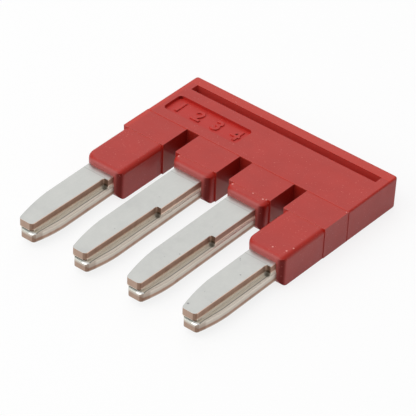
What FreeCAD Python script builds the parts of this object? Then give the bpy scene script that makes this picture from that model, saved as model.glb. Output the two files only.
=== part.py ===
import FreeCAD, Part
import math
import os

from FreeCAD import Vector

# Driving dimensions, in millimetres
pitch = 6.2                 # from one prong to the next
positions = 4               # prongs on the bar
end_margin = 2.35           # from the last prong's centre to the end of the body
body_height = 3.28          # underside to top face
block_depth = 7.0           # the solid block behind the notches
prong_reach = 19.1          # from the front of the block to the prong tips

# Moulded body
end_draft = 0.08            # how much the ends and the back lean in towards the underside
back_corner_radius = 0.3
top_edge_radius = 0.2
bottom_edge_radius = 0.1
notch_width = 1.46          # slot between two legs
root_length = 3.3           # square root of a leg, out to the insert line
root_step = 0.04            # the roots lie this much inside the block's faces
outer_leg_reach = 9.08      # front of the block to the nose of the first and last leg
inner_leg_reach = 4.36      # the same for the legs between them
tip_step = 0.05             # the leg tips lie this much below and inside the roots
tip_step_left = 0.22        # their left sides stand further in
nose_left_radius = 1.3      # upright corners of a leg's nose
nose_right_radius = 0.65
nose_lower_radius = 0.92    # lower front edge of a nose
tip_top_radius = 0.45       # rounding round the top of a tip

# Prying groove along the back of the top face
groove_width = 0.89
groove_rim = 1.15           # wall left between the groove and the back
groove_end_margin = 0.98    # wall left at each end of the groove
groove_depth = 0.9

# Sunk label field, over the first two legs
label_length = 8.6
label_width = 2.55
label_depth = 0.3
label_corner_radius = 0.45
label_end_margin = 0.85     # from the end of the body to the field
label_front_margin = 1.1    # from the front of the block to the field

# Contact comb: one strip, blanked, then folded double along its back
leaf_thickness = 0.88
leaf_gap_root = 0.04        # between the two leaves at the bar
leaf_gap_tip = 0.14         # the leaves stand apart this much at the tips
mouth_height = 0.4          # chamfers between the leaves open each tip this far
mouth_depth = 0.3
comb_centre_height = 1.6    # height of the plane between the leaves
bar_front_margin = 0.6      # plastic in front of the bar, behind each notch
fold_wall = 0.7             # plastic between the fold and the groove
prong_width = 3.1
step_reach = 9.8            # front of the block to the step in the upper leaf
step_width = 0.48           # how far the upper leaf's edge jumps in at the step
step_corner_radius = 0.2
edge_lean = 0.1             # the stepped edge closes in this much from step to tip
edge_flare = 0.15           # the lower leaf's right edge spreads this much, up to its taper
left_lean = 0.25            # the left edges close in this much, up to their taper
left_taper_length = 4.4     # curved taper on the left of both leaves
left_taper_upper = 1.03     # where it ends on the upper leaf, in from the root's left edge
left_taper_lower = 1.2      # and the lower one
right_taper_length = 3.5    # curved taper on the right of the lower leaf
right_taper_lower = 0.55
taper_bulge = 0.12          # how far a taper curves out of a straight line
tip_round_radius = 0.35
edge_roll_radius = 0.1      # rolled edge that blanking leaves round the inner faces
slit_margin = 0.2           # plastic between the leaves at their edges

# Places that follow from the dimensions above
first_prong_x = -(positions - 1) * pitch / 2
half_length = (positions - 1) * pitch / 2 + end_margin
front_y = (prong_reach - block_depth) / 2       # front of the block; the origin is mid-length
back_y = front_y + block_depth
tip_y = front_y - prong_reach
insert_line_y = front_y - root_length
step_y = front_y - step_reach
groove_back_y = back_y - groove_rim
groove_front_y = groove_back_y - groove_width
bar_front_y = front_y + bar_front_margin
fold_outer_radius = leaf_thickness + leaf_gap_root / 2
fold_centre_y = groove_front_y - fold_wall - fold_outer_radius
leaf_lean = math.atan((leaf_gap_tip - leaf_gap_root) / 2 / (bar_front_y - tip_y))
prong_xs = [first_prong_x + i * pitch for i in range(positions)]
notch_xs = [first_prong_x + (i + 0.5) * pitch for i in range(positions - 1)]
overlap = 1.0               # how far joined blanks run into each other
fillet_share = 0.9          # the largest part of a wall that one rounding may take


def cuboid(x0, x1, y0, y1, z0, z1):
    """Box between two corners."""
    return Part.makeBox(x1 - x0, y1 - y0, z1 - z0, Vector(x0, y0, z0))


def edges_where(shape, test):
    """Edges whose two ends and middle all pass the test."""
    picked = []
    for edge in shape.Edges:
        middle = edge.valueAt((edge.FirstParameter + edge.LastParameter) / 2)
        points = [vertex.Point for vertex in edge.Vertexes] + [middle]
        if all(test(p) for p in points):
            picked.append(edge)
    return picked


def near(a, b):
    return abs(a - b) < 1e-4


def limited(radius, wall):
    """A rounding no larger than its wall allows."""
    return min(radius, wall * fillet_share)


def drafted_slab(x0, x1, y0, y1, height, back_draft):
    """Slab whose ends, and back if asked, lean in towards the underside."""
    low = [Vector(x0 + end_draft, y0, 0), Vector(x1 - end_draft, y0, 0),
           Vector(x1 - end_draft, y1 - back_draft, 0), Vector(x0 + end_draft, y1 - back_draft, 0)]
    high = [Vector(x0, y0, height), Vector(x1, y0, height), Vector(x1, y1, height), Vector(x0, y1, height)]
    outlines = [low[::-1], high]
    for i in range(4):
        j = (i + 1) % 4
        outlines.append([low[i], low[j], high[j], high[i]])
    faces = [Part.Face(Part.makePolygon(points + points[:1])) for points in outlines]
    return Part.Solid(Part.makeShell(faces))


def block():
    """The block behind the legs, with its rounded back corners and edges."""
    slab = drafted_slab(-half_length, half_length, front_y, back_y, body_height, end_draft)
    uprights = edges_where(slab, lambda p: p.y > back_y - end_draft - 0.01)
    uprights = [e for e in uprights if abs(e.Vertexes[0].Z - e.Vertexes[1].Z) > body_height / 2]
    slab = slab.makeFillet(back_corner_radius, uprights)
    rim = edges_where(slab, lambda p: near(p.z, body_height) and p.y > front_y - 0.01)
    rim = [e for e in rim if not lies_at_front(e)]
    slab = slab.makeFillet(top_edge_radius, rim)
    foot = edges_where(slab, lambda p: near(p.z, 0))
    foot = [e for e in foot if not lies_at_front(e)]
    return slab.makeFillet(bottom_edge_radius, foot)


def lies_at_front(edge):
    return all(near(v.Y, front_y) for v in edge.Vertexes)


def roots():
    """The legs' square roots: one slab across the bar, parted by the notches."""
    end = half_length - root_step
    return drafted_slab(-end, end, insert_line_y, front_y, body_height - root_step, 0)


def leg_sides(index):
    """Left and right side of a leg's root, between its notches or the bar's ends."""
    left = -half_length + root_step
    right = half_length - root_step
    if index > 0:
        left = notch_xs[index - 1] + notch_width / 2
    if index < positions - 1:
        right = notch_xs[index] - notch_width / 2
    return left, right


def leg_tip(index):
    """The rounded nose of a leg, in front of the insert line."""
    left, right = leg_sides(index)
    nose_y = front_y - (outer_leg_reach if index in (0, positions - 1) else inner_leg_reach)
    top = body_height - root_step - tip_step
    left += tip_step_left
    right -= tip_step
    tip = drafted_slab(left, right, nose_y, insert_line_y, top, 0)
    for x, radius in ((left, nose_left_radius), (right, nose_right_radius)):
        upright = edges_where(tip, lambda p: near(p.y, nose_y) and abs(p.x - x) < end_draft + 0.01)
        tip = tip.makeFillet(limited(radius, insert_line_y - nose_y), upright)
    rim = edges_where(tip, lambda p: near(p.z, top))
    rim = [e for e in rim if not all(near(v.Y, insert_line_y) for v in e.Vertexes)]
    tip = tip.makeFillet(tip_top_radius, rim)
    return tip.cut(nose_underside(left - overlap, right + overlap, nose_y))


def nose_underside(x0, x1, nose_y):
    """What the rounding takes off the lower front edge of a nose."""
    radius = nose_lower_radius
    corner = cuboid(x0, x1, nose_y - overlap, nose_y + radius, -overlap, radius)
    kept = Part.makeCylinder(radius, x1 - x0, Vector(x0, nose_y + radius, radius), Vector(1, 0, 0))
    return corner.cut(kept)


def notches():
    """The slots between the legs, open to the front and right through."""
    slots = []
    for x in notch_xs:
        slots.append(cuboid(x - notch_width / 2, x + notch_width / 2, tip_y, front_y,
                            -overlap, body_height + overlap))
    return slots


def groove():
    """The prying groove behind the label field."""
    end = half_length - groove_end_margin
    return cuboid(-end, end, groove_front_y, groove_back_y, body_height - groove_depth,
                  body_height + overlap)


def label_field():
    """The sunk field for marking, with round corners."""
    x0 = -half_length + label_end_margin
    y0 = front_y + label_front_margin
    field = cuboid(x0, x0 + label_length, y0, y0 + label_width, body_height - label_depth,
                   body_height + overlap)
    uprights = [e for e in field.Edges if abs(e.Vertexes[0].Z - e.Vertexes[1].Z) > label_depth]
    return field.makeFillet(label_corner_radius, uprights)


def prong_outline(x, stepped):
    """Plan of one prong, from the bar to its tip; the upper leaf's right edge is stepped."""
    left = x - prong_width / 2
    right = x + prong_width / 2
    root_y = bar_front_y + overlap
    tip_left = left + (left_taper_upper if stepped else left_taper_lower)
    left_bend = Vector(left + left_lean, tip_y + left_taper_length, 0)
    left_end = Vector(tip_left, tip_y, 0)
    points = [Vector(left, root_y, 0), left_bend]
    edges = [Part.LineSegment(points[0], points[1]).toShape()]
    edges.append(taper(left_bend, left_end, -1))
    if stepped:
        near_x = right - step_width
        right_end = Vector(near_x - edge_lean, tip_y, 0)
        corners = [left_end, right_end, Vector(near_x, step_y, 0), Vector(right, step_y, 0),
                   Vector(right, root_y, 0), points[0]]
        for a, b in zip(corners, corners[1:]):
            edges.append(Part.LineSegment(a, b).toShape())
    else:
        spread = right + edge_flare
        right_bend = Vector(spread, tip_y + right_taper_length, 0)
        right_end = Vector(spread - right_taper_lower, tip_y, 0)
        edges.append(Part.LineSegment(left_end, right_end).toShape())
        edges.append(taper(right_end, right_bend, 1))
        edges.append(Part.LineSegment(right_bend, Vector(right, root_y, 0)).toShape())
        edges.append(Part.LineSegment(Vector(right, root_y, 0), points[0]).toShape())
    return Part.Wire(edges)


def taper(start, end, side):
    """Curved taper between two points; side is 1 on a prong's right edge and -1 on its left."""
    middle = (start + end) * 0.5
    return Part.Arc(start, middle + Vector(side * taper_bulge, 0, 0), end).toShape()


def flat_prong(x, stepped):
    """One leaf of a prong before it is bent, with its inner face down and the rolled rim round it."""
    thickness = leaf_thickness * math.cos(leaf_lean)
    leaf = Part.Face(prong_outline(x, stepped)).extrude(Vector(0, 0, thickness))
    tip_edges = edges_where(leaf, lambda p: near(p.y, tip_y))
    tip_edges = [e for e in tip_edges if near(e.Vertexes[0].X, e.Vertexes[1].X)]
    leaf = leaf.makeFillet(tip_round_radius, tip_edges)
    if stepped:
        inner_x = x + prong_width / 2 - step_width
        inner_corner = edges_where(leaf, lambda p: near(p.y, step_y) and near(p.x, inner_x))
        leaf = leaf.makeFillet(step_corner_radius, inner_corner)
    rim = edges_where(leaf, lambda p: near(p.z, 0))
    rim = [e for e in rim if any(v.Y < bar_front_y for v in e.Vertexes)]
    return leaf.makeFillet(edge_roll_radius, rim)


def prong_leaf(x, side):
    """The upper or lower leaf of a prong, at its height."""
    prong = flat_prong(x, side > 0)
    prong.rotate(Vector(0, bar_front_y, 0), Vector(1, 0, 0), -math.degrees(leaf_lean))
    prong.translate(Vector(0, 0, leaf_gap_root / 2))
    prong = prong.common(cuboid(x - prong_width, x + prong_width, tip_y - overlap, bar_front_y,
                                0, body_height))
    if side < 0:
        prong = prong.mirror(Vector(0, 0, 0), Vector(0, 0, 1))
    prong.translate(Vector(0, 0, comb_centre_height))
    return prong


def fold_profile(radius, front):
    """Side view of what lies inside a radius of the fold, open to the front."""
    z = comb_centre_height
    top = Vector(0, fold_centre_y, z + radius)
    low = Vector(0, fold_centre_y, z - radius)
    nose = Vector(0, fold_centre_y + radius, z)
    corners = [low, Vector(0, front, z - radius), Vector(0, front, z + radius), top]
    edges = [Part.LineSegment(a, b).toShape() for a, b in zip(corners, corners[1:])]
    edges.append(Part.Arc(top, nose, low).toShape())
    return Part.Face(Part.Wire(edges))


def along_bar(profile, width, x):
    """A side view pushed along the bar, centred on x."""
    profile.translate(Vector(x - width / 2, 0, 0))
    return profile.extrude(Vector(width, 0, 0))


def contact_comb():
    """The folded bar with the two leaves of each prong."""
    bar_length = (positions - 1) * pitch + prong_width
    bar = along_bar(fold_profile(fold_outer_radius, bar_front_y), bar_length, 0)
    bar = bar.cut(along_bar(fold_profile(leaf_gap_root / 2, bar_front_y), bar_length, 0))
    leaves = [prong_leaf(x, side) for x in prong_xs for side in (1, -1)]
    return bar.fuse(leaves).cut(tip_mouth()).removeSplitter()


def tip_mouth():
    """What the chamfers take off the inner edges of the tips."""
    z = comb_centre_height
    reach = mouth_height / 2 * (overlap + mouth_depth) / mouth_depth
    corners = [Vector(0, tip_y + mouth_depth, z), Vector(0, tip_y - overlap, z + reach),
               Vector(0, tip_y - overlap, z - reach)]
    return along_bar(Part.Face(Part.makePolygon(corners + corners[:1])), 2 * half_length, 0)


def slit():
    """The narrow space between the leaves, which the plastic does not fill."""
    z = comb_centre_height
    bar_length = (positions - 1) * pitch + prong_width
    space = along_bar(fold_profile(leaf_gap_root / 2, bar_front_y), bar_length, 0)
    corners = [Vector(0, bar_front_y, z + leaf_gap_root / 2), Vector(0, tip_y, z + leaf_gap_tip / 2),
               Vector(0, tip_y, z - leaf_gap_tip / 2), Vector(0, bar_front_y, z - leaf_gap_root / 2)]
    for x in prong_xs:
        wedge = Part.Face(Part.makePolygon(corners + corners[:1]))
        space = space.fuse(along_bar(wedge, prong_width - 2 * slit_margin, x))
    return space


def housing(comb):
    """The body, moulded round the comb: block, roots and leg tips, less its slots and fields."""
    body = block().fuse([roots()] + [leg_tip(i) for i in range(positions)])
    body = body.cut(notches() + [groove(), label_field(), slit(), comb])
    return body.removeSplitter()


def export(name, shape):
    solid = shape.Solids[0]
    if len(shape.Solids) != 1 or not solid.isValid():
        raise ValueError(name + " is not one valid solid")
    solid.exportStep("parts/" + name + ".step")
    box = solid.BoundBox
    print(name, "volume", round(solid.Volume, 2), "faces", len(solid.Faces), "box",
          [round(v, 3) for v in (box.XMin, box.XMax, box.YMin, box.YMax, box.ZMin, box.ZMax)])


os.makedirs("parts", exist_ok=True)
metal = contact_comb()
export("contact_comb", metal)
export("housing", housing(metal))
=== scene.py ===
import math

import bmesh
import bpy
from mathutils import Matrix, Vector


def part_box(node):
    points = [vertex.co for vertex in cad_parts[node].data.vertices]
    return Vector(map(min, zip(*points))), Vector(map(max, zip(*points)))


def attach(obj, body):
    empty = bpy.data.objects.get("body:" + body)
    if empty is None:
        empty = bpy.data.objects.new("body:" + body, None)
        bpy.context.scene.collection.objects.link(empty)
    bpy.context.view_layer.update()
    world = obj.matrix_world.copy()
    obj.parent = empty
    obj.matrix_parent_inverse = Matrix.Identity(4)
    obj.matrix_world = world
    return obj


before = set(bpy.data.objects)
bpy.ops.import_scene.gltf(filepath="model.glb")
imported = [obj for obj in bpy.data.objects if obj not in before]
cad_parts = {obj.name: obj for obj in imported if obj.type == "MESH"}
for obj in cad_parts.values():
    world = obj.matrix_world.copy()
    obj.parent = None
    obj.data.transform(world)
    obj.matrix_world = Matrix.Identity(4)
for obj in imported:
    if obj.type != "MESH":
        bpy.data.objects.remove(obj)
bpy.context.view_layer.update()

MM = 0.001

# Places on the part, in metres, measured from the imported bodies
housing_low, housing_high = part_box("housing")
comb_low, comb_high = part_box("contact_comb")
PITCH = 6.2 * MM
PRONG_XS = [(i - 1.5) * PITCH for i in range(4)]
TIP_Y = comb_low[1]
BLOCK_FRONT_Y = TIP_Y + 19.1 * MM
STEP_Y = BLOCK_FRONT_Y - 9.8 * MM  # the upper leaf's right edge jumps in here
OUTER_NOSE_Y = BLOCK_FRONT_Y - 9.08 * MM  # fronts of the two outer legs
INNER_NOSE_Y = BLOCK_FRONT_Y - 4.36 * MM  # fronts of the two inner legs
NOSE_LINE_Y = BLOCK_FRONT_Y - 3.3 * MM  # the legs' noses begin here
LEAF_ROOT_Y = BLOCK_FRONT_Y + 0.6 * MM  # the leaves part from here on
GROOVE_Y = housing_high[1] - 1.64 * MM
MID_Z = (comb_low[2] + comb_high[2]) / 2
TOP_Z = housing_high[2]
PLATE_TOP_Z = MID_Z + 0.93 * MM
LEAF_GAP_ROOT = 0.02 * MM  # from the middle to each leaf at its root
LEAF_SPREAD = 0.05 / 19.7  # and this much more for each length towards the tip
LABEL_CENTRE = (housing_low[0] + 5.15 * MM, BLOCK_FRONT_Y + 2.375 * MM)
LABEL_SIZE = (8.6 * MM, 2.55 * MM)
LABEL_FLOOR_Z = TOP_Z - 0.3 * MM
SLOT_HALF_WIDTH = 0.85 * MM
GROOVE_HALF_SIZE = (11.0 * MM, 0.5 * MM)

# Small dark nicks on the plate, painted highlights as pale spots on the noses' top edges, and the
# dark foot of
# the step beside the middle of a prong: x, y and radius in millimetres
NICKS = [(9.64, -6.34, 0.05), (8.84, -12.29, 0.09), (3.9, -7.6, 0.04)]
SCUFFS = [(-4.89, 2.49, 0.06), (1.36, 2.49, 0.06), (3.58, 2.65, 0.05),
          (4.77, 2.55, 0.06), (5.05, 2.70, 0.05), (9.72, -2.14, 0.05),
          (10.98, -1.80, 0.06), (11.20, -1.11, 0.05), (11.45, 5.9, 0.05)]
STEP_FEET = [(1.30, STEP_Y / MM - 0.12, 0.10)]

# Colours of the plastic: its skin between two tones, then place, strength and tone in turn
SKIN_TONES = ((0.40, 0.011, 0.004, 1), (0.52, 0.019, 0.008, 1))
PLASTIC_TONES = [
    # painted highlight on the top near the block's left and far edges
    ("rim", 0.42, (0.66, 0.034, 0.011, 1)),
    # painted light over the shade of the small step where the legs' roots begin
    ("seam", 0.35, (0.80, 0.12, 0.09, 1)),
    ("label", 1.0, (0.52, 0.017, 0.010, 1)),
    # painted light on the figures' upright sides, where shade would fall
    ("digit_sides", 0.75, (0.90, 0.060, 0.040, 1)),
    # painted light in the groove along the back of the top
    ("groove", 1.0, (0.55, 0.050, 0.038, 1)),
    # painted sheen on the fronts of the noses
    ("nose_front", 0.8, (0.49, 0.104, 0.094, 1)),
    # painted shade on the upright corners that face right and forward
    ("corner", 0.85, (0.15, 0.008, 0.006, 1)),
    ("specks", 0.5, (0.75, 0.22, 0.18, 1)),
    # painted highlights on the noses' top edges
    ("scuffs", 0.7, (0.88, 0.42, 0.38, 1)),
    # painted highlight on the mould's flash where the noses begin
    ("flash", 0.3, (0.80, 0.25, 0.21, 1)),
    # painted shade in the slots between the legs
    ("slot", 0.32, (0.085, 0.007, 0.006, 1)),
    # painted light from the floor on the slots' foot
    ("slot_foot", 0.8, (0.46, 0.13, 0.10, 1)),
]

# Colours of the comb: pairs are the two tones that a noise blends
PLATE_TONES = ((0.50, 0.51, 0.49, 1), (0.65, 0.65, 0.625, 1))
PLATE_SMUDGE = (0.43, 0.43, 0.43, 1)
PLATE_STREAK = (0.48, 0.48, 0.46, 1)
SHEARED_TONES = ((0.62, 0.55, 0.47, 1), (0.76, 0.69, 0.61, 1))
# painted shade on the lower leaf's cut edge away from the fold
SHEARED_OUTER = (0.51, 0.455, 0.395, 1)
SHEARED_UPPER_LEAF = (0.80, 0.60, 0.48, 1)
TORN_TONES = ((0.28, 0.165, 0.12, 1), (0.50, 0.33, 0.25, 1))
TORN_FRONT_UPPER = (0.46, 0.32, 0.25, 1)
TORN_FRONT_LOWER = (0.38, 0.26, 0.20, 1)
TORN_FRONT_LIGHT = (0.52, 0.38, 0.30, 1)
# painted light next to the fold between the leaves
INSIDE_UPPER = (1.0, 0.90, 0.78, 1)
INSIDE_LOWER = (0.74, 0.68, 0.58, 1)
# painted shade under the upper leaf, a greyer lower leaf, and a painted glint, at the tips' mouth
MOUTH_UPPER = (0.30, 0.24, 0.18, 1)
MOUTH_LOWER = (0.46, 0.47, 0.43, 1)
MOUTH_GLINT = (0.88, 0.88, 0.85, 1)
# painted highlight and painted dark line on the lower leaf's inner face
BRIGHT_EDGE = (0.80, 0.72, 0.63, 1)
CREASE = (0.16, 0.15, 0.13, 1)
# near white: painted light in the fold between the leaves
SEAM_TONES = ((0.94, 0.85, 0.73, 1), (1.0, 0.94, 0.83, 1))
STEP_FOOT_STRENGTH = 0.85
STEP_FOOT_TONE = (0.09, 0.075, 0.05, 1)

# Marks and painted shade over the comb's own zones: place, strength and tone in turn
COMB_MARKS = [
    # painted shade
    ("dark_corner", 1.0, (0.17, 0.085, 0.05, 1)),
    ("step_foot", STEP_FOOT_STRENGTH, STEP_FOOT_TONE),
    ("witness", 0.30, (0.25, 0.24, 0.22, 1)),
    ("nicks", 0.6, (0.16, 0.15, 0.16, 1)),
]

# Camera: the photograph's viewing angle, found by fitting the body's edges
IMAGE_SIZE = 416
SENSOR_WIDTH = 36.0
FOCAL_PIXELS = 3300.0
VIEW_AZIMUTH = math.radians(39.228)
VIEW_ELEVATION = math.radians(37.043)
VIEW_ROLL = math.radians(1.6)
VIEW_DISTANCE = 295.092 * MM
VIEW_AIM = Vector((-1.817, 3.068, -1.398)) * MM

# Studio
FLOOR_SIZE = 1.5
FLOOR_Z = -0.02 * MM
FLOOR_GLOW = 0.8  # share of plain white in the floor that the camera sees
WORLD_STRENGTH = 0.35

# Shapes that only the visual model has
EDGE_BREAK = 0.04 * MM
DIGIT_SIZE = 2.0 * MM
DIGIT_RELIEF = 0.12 * MM
DIGIT_ROUNDING = 0.05 * MM
DIGIT_SINK = 0.01 * MM  # the figures stand this deep in the label field's floor
SEAM_REACH = 0.085 * MM  # the tin stands out this far at the leaves' edges
SEAM_RETREAT = 0.22 * MM  # and stays this far back round the tips
SEAM_RISE = 0.07 * MM
FOLD_HEIGHT = 0.12 * MM  # the upper leaves' inner faces lie within this of the middle
MOUTH_END_Y = TIP_Y + 1.0 * MM
TAPER_END_Y = TIP_Y + 4.5 * MM


def show(piece):
    """Adds an object to the scene."""
    bpy.context.scene.collection.objects.link(piece)


def make_camera():
    """Camera at the photograph's place, with the same small roll."""
    azimuth, elevation = VIEW_AZIMUTH, VIEW_ELEVATION
    back = Vector((math.sin(azimuth) * math.cos(elevation),
                   -math.cos(azimuth) * math.cos(elevation), math.sin(elevation)))
    right = Vector((math.cos(azimuth), math.sin(azimuth), 0))
    up = back.cross(right)
    rolled_right = right * math.cos(VIEW_ROLL) + up * math.sin(VIEW_ROLL)
    rolled_up = up * math.cos(VIEW_ROLL) - right * math.sin(VIEW_ROLL)
    turn = Matrix((rolled_right, rolled_up, back)).transposed()
    data = bpy.data.cameras.new("camera")
    data.sensor_width = SENSOR_WIDTH
    data.lens = FOCAL_PIXELS * SENSOR_WIDTH / IMAGE_SIZE
    data.clip_start = 0.01
    data.clip_end = 10
    camera = bpy.data.objects.new("camera", data)
    camera.matrix_world = Matrix.Translation(VIEW_AIM + back * VIEW_DISTANCE) @ turn.to_4x4()
    show(camera)
    bpy.context.scene.camera = camera


class Shader:
    """A material's node tree, with short ways to add and join its nodes."""

    def __init__(self, name):
        self.material = bpy.data.materials.new(name)
        self.material.use_nodes = True
        self.tree = self.material.node_tree
        self.surface = self.tree.nodes["Principled BSDF"]
        self.output = self.tree.nodes["Material Output"]

    def add(self, kind, **values):
        """Adds a node; a value is a setting of the node, or what goes into its socket."""
        node = self.tree.nodes.new(kind)
        for key, value in values.items():
            if hasattr(node, key):
                setattr(node, key, value)
            else:
                self.feed(node.inputs[key.replace("_", " ")], value)
        return node

    def feed(self, socket, value):
        if isinstance(value, bpy.types.NodeSocket):
            self.tree.links.new(value, socket)
        else:
            socket.default_value = value

    def set(self, **values):
        """Sets inputs of the surface."""
        for key, value in values.items():
            self.feed(self.surface.inputs[key.replace("_", " ")], value)

    # Where the shaded point lies, and which way it faces

    def place(self):
        """Position on the part in metres, which is each object's own space."""
        return self.add("ShaderNodeTexCoord").outputs["Object"]

    def split(self, vector):
        return self.add("ShaderNodeSeparateXYZ", Vector=vector).outputs

    def facing(self, kind):
        """Parts of the direction that the surface faces: its Normal or its True Normal."""
        return self.split(self.add("ShaderNodeNewGeometry").outputs[kind])

    def beside_prong(self, x):
        """Distance to the right of the middle of the nearest prong."""
        return self.minus(self.math("WRAP", x, PITCH, 0.0), PITCH / 2)

    # Sums

    def math(self, operation, first, second=0.0, third=0.0, clamp=False):
        node = self.add("ShaderNodeMath", operation=operation, use_clamp=clamp)
        for socket, value in zip(node.inputs, (first, second, third)):
            self.feed(socket, value)
        return node.outputs[0]

    def plus(self, first, second):
        return self.math("ADD", first, second)

    def minus(self, first, second):
        return self.math("SUBTRACT", first, second)

    def times(self, first, second):
        return self.math("MULTIPLY", first, second)

    def magnitude(self, value):
        return self.math("ABSOLUTE", value)

    def lerp(self, factor, low, high):
        return self.plus(low, self.times(factor, high - low))

    # Masks, which are 1 where something holds and 0 elsewhere

    def all_of(self, first, *others):
        for other in others:
            first = self.times(first, other)
        return first

    def either(self, first, second):
        return self.math("MAXIMUM", first, second)

    def without(self, mask):
        return self.minus(1.0, mask)

    def below(self, value, limit):
        return self.math("LESS_THAN", value, limit)

    def rise(self, value, start, width):
        """0 up to start, then up to 1 over width."""
        node = self.add("ShaderNodeMapRange", interpolation_type="SMOOTHSTEP")
        self.feed(node.inputs["Value"], value)
        self.feed(node.inputs["From Min"], start)
        if isinstance(start, bpy.types.NodeSocket):
            self.feed(node.inputs["From Max"], self.plus(start, width))
        else:
            self.feed(node.inputs["From Max"], start + width)
        return node.outputs["Result"]

    def band(self, value, centre, half_width, softness):
        """1 within half_width of centre, falling to 0 over softness."""
        away = self.magnitude(self.minus(value, centre))
        return self.without(self.rise(away, half_width, softness))

    def spots(self, place, points, height, softness=0.05 * MM):
        """1 in small round spots at the given height, each x, y and radius in millimetres."""
        found = 0.0
        for x, y, radius in points:
            apart = self.add("ShaderNodeVectorMath", operation="DISTANCE")
            self.feed(apart.inputs[0], place)
            self.feed(apart.inputs[1], (x * MM, y * MM, height))
            spot = self.without(self.rise(apart.outputs["Value"], radius * MM, softness))
            found = self.either(found, spot)
        return found

    def step_foot(self, x, y):
        """1 in the dark corner where the step in the upper leaf meets the lower leaf."""
        plan = self.add("ShaderNodeCombineXYZ", X=self.beside_prong(x), Y=y).outputs[0]
        return self.spots(plan, STEP_FEET, 0.0, 0.24 * MM)

    # Textures

    def noise(self, place, scale, detail=3.0, roughness=0.5, stretch=(1, 1, 1)):
        mapping = self.add("ShaderNodeMapping", Vector=place, Scale=stretch)
        node = self.add("ShaderNodeTexNoise", Vector=mapping.outputs[0], Scale=scale,
                        Detail=detail, Roughness=roughness)
        return node.outputs["Fac"]

    def mix(self, factor, first, second):
        """Blends two colours, through the sockets that the node has for colours."""
        node = self.add("ShaderNodeMix", data_type="RGBA")
        for index, value in zip((0, 6, 7), (factor, first, second)):
            self.feed(node.inputs[index], value)
        return node.outputs[2]

    def bump(self, height, distance, strength=1.0, normal=None):
        node = self.add("ShaderNodeBump", Height=height, Distance=distance, Strength=strength)
        if normal is not None:
            self.feed(node.inputs["Normal"], normal)
        return node.outputs[0]


def plastic_places(shader, place):
    """Masks of the places where the red plastic looks different."""
    x, y, z = shader.split(place)
    facing = shader.facing("Normal")
    depth = shader.minus(TOP_Z, z)
    off_middle = shader.magnitude(x)
    ahead = shader.times(facing["Y"], -1.0)
    steep = shader.without(shader.rise(facing["Z"], 0.3, 0.5))
    top_rim = shader.below(TOP_Z - 0.12 * MM, z)
    at = {}

    # The label field's floor, and the upright sides of the figures on it, which get painted light
    half_x, half_y = LABEL_SIZE[0] / 2, LABEL_SIZE[1] / 2
    at["label"] = shader.all_of(
        shader.band(x, LABEL_CENTRE[0], half_x, 0.05 * MM),
        shader.band(y, LABEL_CENTRE[1], half_y, 0.05 * MM),
        shader.below(z, TOP_Z - 0.05 * MM),
        shader.below(-0.5, facing["Z"]))
    at["digit_sides"] = shader.all_of(
        shader.band(x, LABEL_CENTRE[0], half_x - 0.25 * MM, 0.05 * MM),
        shader.band(y, LABEL_CENTRE[1], half_y - 0.15 * MM, 0.05 * MM),
        at["label"], steep)

    # Painted shade on the walls of the slots between the legs, and painted light on their foot
    # that the floor lights
    from_slot = shader.magnitude(shader.math("WRAP", x, PITCH / 2, -PITCH / 2))
    walls = shader.all_of(
        shader.below(from_slot, SLOT_HALF_WIDTH),
        shader.below(NOSE_LINE_Y + 0.05 * MM, y),
        shader.below(y, BLOCK_FRONT_Y + 0.05 * MM),
        shader.below(off_middle, 1.5 * PITCH))
    shade_depth = shader.times(shader.minus(y, NOSE_LINE_Y), 0.9)
    lit = shader.rise(shader.minus(depth, shade_depth), 0.40 * MM, 0.35 * MM)
    at["slot_foot"] = shader.times(walls, lit)
    at["slot"] = shader.all_of(
        walls, shader.rise(depth, 0.04 * MM, 0.08 * MM),
        shader.without(shader.times(lit, 0.65)))

    # Painted light on the groove's walls, lighter than the shade that falls in it
    at["groove"] = shader.all_of(
        shader.band(y, GROOVE_Y, GROOVE_HALF_SIZE[1], 0.05 * MM),
        shader.below(0.08 * MM, depth),
        shader.below(off_middle, GROOVE_HALF_SIZE[0]),
        shader.below(depth, 1.2 * MM))

    # Painted sheen on the fronts of the noses, and painted shade on the legs' upright corners
    at["nose_front"] = shader.times(shader.rise(ahead, 0.5, 0.4),
                                    shader.below(y, NOSE_LINE_Y - 0.1 * MM))
    at["corner"] = shader.all_of(
        shader.rise(ahead, 0.05, 0.5), shader.rise(facing["X"], 0.05, 0.5),
        shader.below(shader.magnitude(facing["Z"]), 0.5))

    # Painted highlight: thin pale lines where the noses and the roots begin, and the block's left
    # and far rims
    # At the noses it lies on the mould's flash; at the roots it covers the shade of the small step
    at["flash"] = shader.times(shader.band(y, NOSE_LINE_Y - 0.02 * MM, 0.03 * MM, 0.03 * MM),
                               top_rim)
    at["seam"] = shader.times(shader.band(y, BLOCK_FRONT_Y, 0.03 * MM, 0.03 * MM), top_rim)
    left_rim = shader.rise(shader.times(x, -1.0), 11.0 * MM, 0.3 * MM)
    far_rim = shader.rise(y, GROOVE_Y + 0.45 * MM, 0.1 * MM)
    at["rim"] = shader.times(shader.either(left_rim, far_rim), shader.below(0.5, facing["Z"]))

    at["specks"] = shader.rise(shader.noise(place, 8000.0, 1.0, 0.5), 0.70, 0.05)
    at["scuffs"] = shader.spots(place, SCUFFS, TOP_Z - 0.09 * MM)
    return at


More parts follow.
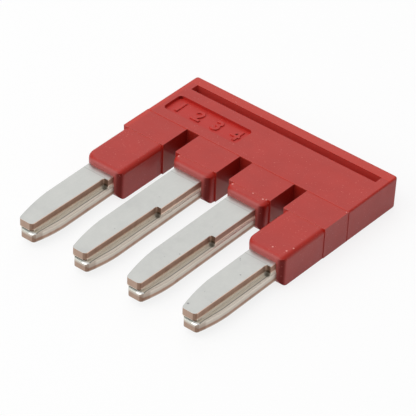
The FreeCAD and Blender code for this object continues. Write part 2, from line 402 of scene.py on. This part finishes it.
def red_plastic():
    """Moulded red plastic: satin skin with a fine grain, its own tone in some places, and painted
    light and shade in others.
    """
    shader = Shader("red_plastic")
    place = shader.place()
    at = plastic_places(shader, place)
    cloud = shader.noise(place, 420.0, 3.0, 0.6)
    flow = shader.noise(place, 700.0, 3.0, 0.6, stretch=(0.35, 1.0, 1.0))
    grain = shader.noise(place, 9000.0, 2.0, 0.6)

    colour = shader.mix(cloud, *SKIN_TONES)
    for name, strength, tone in PLASTIC_TONES:
        colour = shader.mix(shader.times(at[name], strength), colour, tone)
    shader.set(Base_Color=colour, IOR=1.52)

    # The label field is rougher, and the slots and corners reflect less
    shader.set(Roughness=shader.plus(shader.lerp(flow, 0.36, 0.50),
                                     shader.times(at["label"], 0.1)))
    dull = shader.either(shader.times(at["slot"], 0.4), at["corner"])
    shader.set(Specular_IOR_Level=shader.minus(0.5, shader.times(dull, 0.35)))
    skin = shader.bump(flow, 0.03 * MM, 0.5)
    shader.set(Normal=shader.bump(grain, 0.006 * MM, 0.7, skin))
    return shader.material


def comb_places(shader, place, ragged):
    """Masks of the zones, marks, painted light and painted shade on the comb; ragged is the noise
    along its cut edges.
    """
    x, y, z = shader.split(place)
    facing = shader.facing("True Normal")
    level = shader.magnitude(facing["Z"])
    ahead = shader.times(facing["Y"], -1.0)
    at = {}
    upright = at["upright"] = shader.without(shader.rise(level, 0.25, 0.2))
    forward = at["forward"] = shader.rise(ahead, 0.5, 0.3)
    lower_leaf = at["lower_leaf"] = shader.below(z, MID_Z)

    # Height above the inner face of the leaf, which leans away from the middle
    lean = shader.times(shader.minus(LEAF_ROOT_Y, y), LEAF_SPREAD)
    off_middle = shader.magnitude(shader.minus(z, MID_Z))
    height = shader.minus(shader.minus(off_middle, LEAF_GAP_ROOT), lean)

    # Cut edges: sheared next to the fold and torn outside it, up to a thin plated skin
    border = shader.lerp(lower_leaf, 0.16 * MM, 0.36 * MM)
    border = shader.plus(border, shader.times(ragged, 0.10 * MM))
    front_drop = shader.lerp(lower_leaf, 0.12 * MM, 0.16 * MM)
    border = shader.minus(border, shader.times(forward, front_drop))
    torn = shader.rise(height, border, shader.lerp(lower_leaf, 0.10 * MM, 0.18 * MM))
    torn = shader.times(torn, upright)
    skin = shader.rise(height, shader.lerp(forward, 0.75 * MM, 0.84 * MM), 0.07 * MM)
    at["torn"] = shader.minus(torn, shader.times(torn, skin))
    # Painted shade on the lower leaf's sheared band, darker further from the fold
    at["outer"] = shader.times(lower_leaf, shader.rise(height, 0.05 * MM, 0.30 * MM))
    # Painted light next to the fold, near white and barely metallic, where the gap lies in shade
    at["inside"] = shader.below(height, shader.lerp(lower_leaf, 0.16 * MM, 0.05 * MM))

    # Painted dark line along the right of the lower leaf's inner face, and painted highlight
    # outside it
    across = shader.beside_prong(x)
    to_tip = shader.rise(shader.times(y, -1.0), 9.5 * MM, 3.0 * MM)
    crease_at = shader.minus(1.40 * MM, shader.times(to_tip, 0.20 * MM))
    outside = shader.minus(across, crease_at)
    on_ledge = shader.all_of(lower_leaf, shader.below(0.2, facing["Z"]),
                             shader.below(height, 0.12 * MM))
    at["crease"] = shader.times(shader.band(outside, 0.0, 0.03 * MM, 0.03 * MM), on_ledge)
    at["bright_edge"] = shader.times(shader.rise(outside, 0.02 * MM, 0.05 * MM), on_ledge)

    # The open mouth between the leaves at the tips: painted shade under the upper leaf, and a
    # painted glint on the lower
    at["mouth"] = shader.all_of(shader.below(y, TIP_Y + 0.33 * MM),
                                shader.below(height, 0.22 * MM), shader.below(0.2, level))
    at["glint"] = shader.band(across, 0.95 * MM, 0.30 * MM, 0.15 * MM)

    # Painted shade on the corners of the tips, under the upper leaf at the mouth, and on the wall
    # of the step in each upper leaf
    turning = shader.times(facing["X"], ahead)
    turning = shader.times(shader.rise(turning, 0.12, 0.2), shader.below(y, TIP_Y + 1.0 * MM))
    wall = shader.times(forward, shader.below(STEP_Y - 0.6 * MM, y))
    under = shader.times(turning, shader.below(height, 0.2 * MM))
    under = shader.minus(under, shader.times(under, lower_leaf))
    dark = shader.either(shader.times(turning, 0.6), shader.times(wall, 0.6))
    dark = shader.either(dark, shader.times(under, 0.9))
    at["dark_corner"] = shader.times(dark, upright)
    at["step_foot"] = shader.times(shader.step_foot(x, y), shader.below(height, 0.35 * MM))

    # Line that the mould left in front of each nose, and a few nicks
    outer_leg = shader.below(PITCH, shader.magnitude(x))
    from_nose = shader.minus(shader.lerp(outer_leg, INNER_NOSE_Y, OUTER_NOSE_Y), y)
    at["witness"] = shader.times(shader.band(from_nose, 0.65 * MM, 0.03 * MM, 0.04 * MM),
                                 shader.below(0.5, facing["Z"]))
    flecks = shader.rise(shader.noise(place, 2600.0, 1.0, 0.5), 0.785, 0.02)
    at["nicks"] = shader.either(flecks, shader.spots(place, NICKS, PLATE_TOP_Z))
    return at


def tinned_copper():
    """Tin-plated strip: satin plate on its faces; on the blanked edges a bright sheared band next
    to the fold plane and torn copper outside it."""
    shader = Shader("tinned_copper")
    place = shader.place()
    ragged = shader.noise(place, 1500.0, 3.0, 0.6, stretch=(1.0, 1.0, 0.2))
    at = comb_places(shader, place, ragged)
    mottle = shader.noise(place, 700.0, 4.0, 0.7)
    rolled = shader.noise(place, 5200.0, 2.0, 0.5, stretch=(1.0, 0.06, 1.0))
    smudge = shader.rise(shader.noise(place, 330.0, 4.0, 0.65), 0.48, 0.25)

    plate = shader.mix(mottle, *PLATE_TONES)
    plate = shader.mix(shader.times(smudge, 0.30), plate, PLATE_SMUDGE)
    plate = shader.mix(shader.times(rolled, 0.25), plate, PLATE_STREAK)
    sheared = shader.mix(ragged, *SHEARED_TONES)
    sheared = shader.mix(shader.times(at["outer"], 0.85), sheared, SHEARED_OUTER)
    sheared = shader.mix(at["lower_leaf"], SHEARED_UPPER_LEAF, sheared)
    front = shader.mix(at["lower_leaf"], TORN_FRONT_UPPER, TORN_FRONT_LOWER)
    front = shader.mix(ragged, front, TORN_FRONT_LIGHT)
    copper = shader.mix(at["forward"], shader.mix(ragged, *TORN_TONES), front)
    inside = shader.mix(at["lower_leaf"], INSIDE_UPPER, INSIDE_LOWER)
    mouth = shader.mix(at["lower_leaf"], MOUTH_UPPER,
                       shader.mix(at["glint"], MOUTH_LOWER, MOUTH_GLINT))

    colour = shader.mix(at["upright"], plate, sheared)
    colour = shader.mix(at["torn"], colour, copper)
    colour = shader.mix(at["inside"], colour, inside)
    colour = shader.mix(at["bright_edge"], colour, BRIGHT_EDGE)
    colour = shader.mix(shader.times(at["crease"], 0.75), colour, CREASE)
    colour = shader.mix(at["mouth"], colour, mouth)
    for name, strength, tone in COMB_MARKS:
        colour = shader.mix(shader.times(at[name], strength), colour, tone)
    shader.set(Base_Color=colour, Metallic=shader.lerp(at["inside"], 1.0, 0.25))

    rough = shader.plus(shader.lerp(mottle, 0.30, 0.44), shader.times(at["torn"], 0.15))
    shader.set(Roughness=shader.plus(rough, shader.times(at["inside"], 0.2)))
    fine = shader.bump(rolled, 0.004 * MM, 0.5)
    shader.set(Normal=shader.bump(ragged, 0.02 * MM, shader.times(at["upright"], 0.8), fine))
    return shader.material


def seam_metal():
    """Dull pale tin that has run into the fold between the leaves, near white as painted light
    where the fold lies in shade.
    """
    shader = Shader("seam_metal")
    place = shader.place()
    where = shader.split(place)
    grain = shader.noise(place, 2500.0, 3.0, 0.6)
    foot = shader.times(shader.step_foot(where["X"], where["Y"]), STEP_FOOT_STRENGTH)
    colour = shader.mix(foot, shader.mix(grain, *SEAM_TONES), STEP_FOOT_TONE)
    shader.set(Base_Color=colour, Metallic=0.15, Roughness=0.5)
    shader.set(Normal=shader.bump(grain, 0.01 * MM, 0.5))
    return shader.material


def floor_material():
    """Pale floor: seen or reflected it is white, and still darkens under the part."""
    shader = Shader("floor")
    rays = shader.add("ShaderNodeLightPath").outputs
    seen = shader.math("ADD", rays["Is Camera Ray"], rays["Is Glossy Ray"], clamp=True)
    seen = shader.math("ADD", seen, rays["Is Transmission Ray"], clamp=True)
    shader.set(Base_Color=shader.mix(seen, (0.55, 0.55, 0.55, 1), (1, 1, 1, 1)))
    shader.set(Roughness=0.9, Specular_IOR_Level=0.0)
    glow = shader.add("ShaderNodeEmission", Color=(1, 1, 1, 1), Strength=1.0)
    blend = shader.add("ShaderNodeMixShader")
    shader.feed(blend.inputs[0], shader.times(seen, FLOOR_GLOW))
    shader.feed(blend.inputs[1], shader.surface.outputs[0])
    shader.feed(blend.inputs[2], glow.outputs[0])
    shader.feed(shader.output.inputs["Surface"], blend.outputs[0])
    return shader.material


def make_floor():
    mesh = bpy.data.meshes.new("floor")
    sides = [(-1, -1), (1, -1), (1, 1), (-1, 1)]
    corners = [(x * FLOOR_SIZE, y * FLOOR_SIZE, FLOOR_Z) for x, y in sides]
    mesh.from_pydata(corners, [], [(0, 1, 2, 3)])
    mesh.materials.append(floor_material())
    floor = bpy.data.objects.new("floor", mesh)
    show(floor)


def make_light(name, direction, distance, size, radiance):
    """Square soft light that looks at the part; radiance is what a reflection of it shows."""
    data = bpy.data.lights.new(name, "AREA")
    data.shape = "SQUARE"
    data.size = size
    data.energy = radiance * math.pi * size * size
    light = bpy.data.objects.new(name, data)
    away = Vector(direction).normalized()
    turn = away.to_track_quat("Z", "Y").to_matrix().to_4x4()
    light.matrix_world = Matrix.Translation(away * distance) @ turn
    show(light)


def make_studio():
    """Broad soft lights from the left and above, and an even pale room."""
    make_light("key_light", (-0.45, -0.75, 0.75), distance=0.42, size=0.45, radiance=1.30)
    make_light("back_light", (-0.52, 0.62, 0.60), distance=0.45, size=0.40, radiance=0.80)
    make_light("top_light", (-0.10, -0.10, 1.0), distance=0.50, size=0.45, radiance=1.30)
    world = bpy.data.worlds.new("room")
    world.use_nodes = True
    background = world.node_tree.nodes["Background"]
    background.inputs["Color"].default_value = (1, 1, 1, 1)
    background.inputs["Strength"].default_value = WORLD_STRENGTH
    bpy.context.scene.world = world


def dress_node(name, material):
    """Gives a CAD node its finished material, and a small bevel on the sharp edges that its
    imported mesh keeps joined: a few of the comb's and none of the housing's."""
    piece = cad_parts[name]
    for slot in piece.material_slots:
        slot.material = material
    edge = piece.modifiers.new("edge", "BEVEL")
    edge.width = EDGE_BREAK
    edge.segments = 2
    edge.limit_method = "ANGLE"
    edge.angle_limit = math.radians(50)
    edge.harden_normals = False


def make_position_numbers(material):
    """Raised, rounded figures 1 to 4 that stand on the label field's floor, one for each prong."""
    curve = bpy.data.curves.new("position_numbers", "FONT")
    curve.body = "1 2 3 4"
    curve.align_x = "CENTER"
    curve.align_y = "CENTER"
    curve.size = DIGIT_SIZE
    curve.space_character = 1.15
    curve.space_word = 1.6
    curve.offset = 0.02 * MM
    curve.extrude = DIGIT_RELIEF / 2 - DIGIT_ROUNDING
    curve.bevel_depth = DIGIT_ROUNDING
    curve.bevel_resolution = 2
    curve.resolution_u = 6
    text = bpy.data.objects.new("position_numbers_text", curve)
    show(text)
    bpy.context.view_layer.update()
    mesh = bpy.data.meshes.new_from_object(text)
    bpy.data.objects.remove(text)
    mesh.materials.clear()
    mesh.materials.append(material)
    middle_z = LABEL_FLOOR_Z + DIGIT_RELIEF / 2 - DIGIT_SINK
    mesh.transform(Matrix.Translation((LABEL_CENTRE[0], LABEL_CENTRE[1], middle_z)))
    numbers = bpy.data.objects.new("position_numbers", mesh)
    show(numbers)
    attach(numbers, "root")


def inner_faces():
    """The upper leaves' inner faces, which lie along the fold, as a mesh of their own."""
    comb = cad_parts["contact_comb"].data
    faces = bmesh.new()
    corners = {}
    for face in comb.polygons:
        low = all(comb.vertices[i].co.z < MID_Z + FOLD_HEIGHT for i in face.vertices)
        of_upper_leaf = face.normal.z <= -0.9 and face.center.z >= MID_Z
        if not low or not of_upper_leaf or face.center.y > LEAF_ROOT_Y:
            continue
        for i in face.vertices:
            if i not in corners:
                corners[i] = faces.verts.new(comb.vertices[i].co)
        faces.faces.new([corners[i] for i in face.vertices])
    bmesh.ops.remove_doubles(faces, verts=faces.verts, dist=0.001 * MM)
    return faces


def outward_sides(faces):
    """For each corner on the border of flat faces, the outward directions of its border edges."""
    outward = {}
    for edge in faces.edges:
        if not edge.is_boundary:
            continue
        along = edge.verts[1].co - edge.verts[0].co
        away = Vector((along.y, -along.x, 0)).normalized()
        middle = (edge.verts[0].co + edge.verts[1].co) / 2
        if away.dot(middle - edge.link_faces[0].calc_center_median()) < 0:
            away = -away
        for corner in edge.verts:
            outward.setdefault(corner, []).append(away)
    return outward


def seam_reach(place):
    """How far the tin stands out here: it stays back round the tips, and where the lower leaf
    is the narrower one, on the left of the taper."""
    if place.y < MOUTH_END_Y - 0.1 * MM:
        return -SEAM_RETREAT
    prong_x = min(PRONG_XS, key=lambda x: abs(x - place.x))
    if place.x < prong_x and place.y < TAPER_END_Y:
        return -SEAM_REACH
    return SEAM_REACH


def make_leaf_seams(material):
    """Tin in the fold between each prong's leaves, nearly flush with the upper leaf's edge; its
    pale faces cover the fold's shade.
    """
    seams = inner_faces()
    whole = seams.verts[:] + seams.edges[:] + seams.faces[:]
    bmesh.ops.bisect_plane(seams, geom=whole, plane_co=(0, MOUTH_END_Y, 0), plane_no=(0, 1, 0))
    for corner, sides in outward_sides(seams).items():
        away = sum(sides, Vector())
        stretch = len(sides) / max(away.length_squared, 0.5)
        corner.co += away * (seam_reach(corner.co) * stretch)
    for corner in seams.verts:
        corner.co.z += SEAM_RISE
    grown = bmesh.ops.extrude_face_region(seams, geom=seams.faces[:])
    for corner in grown["geom"]:
        if isinstance(corner, bmesh.types.BMVert):
            corner.co.z = 2 * MID_Z - corner.co.z
    # This turns the faces outwards on the two right prongs and inwards on the two left ones,
    # which doesn't show, because the material is drawn on both sides
    bmesh.ops.recalc_face_normals(seams, faces=seams.faces)
    mesh = bpy.data.meshes.new("leaf_seams")
    seams.to_mesh(mesh)
    seams.free()
    mesh.materials.append(material)
    piece = bpy.data.objects.new("leaf_seams", mesh)
    show(piece)
    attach(piece, "root")


make_camera()
make_floor()
make_studio()
plastic = red_plastic()
dress_node("housing", plastic)
dress_node("contact_comb", tinned_copper())
make_position_numbers(plastic)
make_leaf_seams(seam_metal())

view = bpy.context.scene.view_settings
view.view_transform = "Standard"
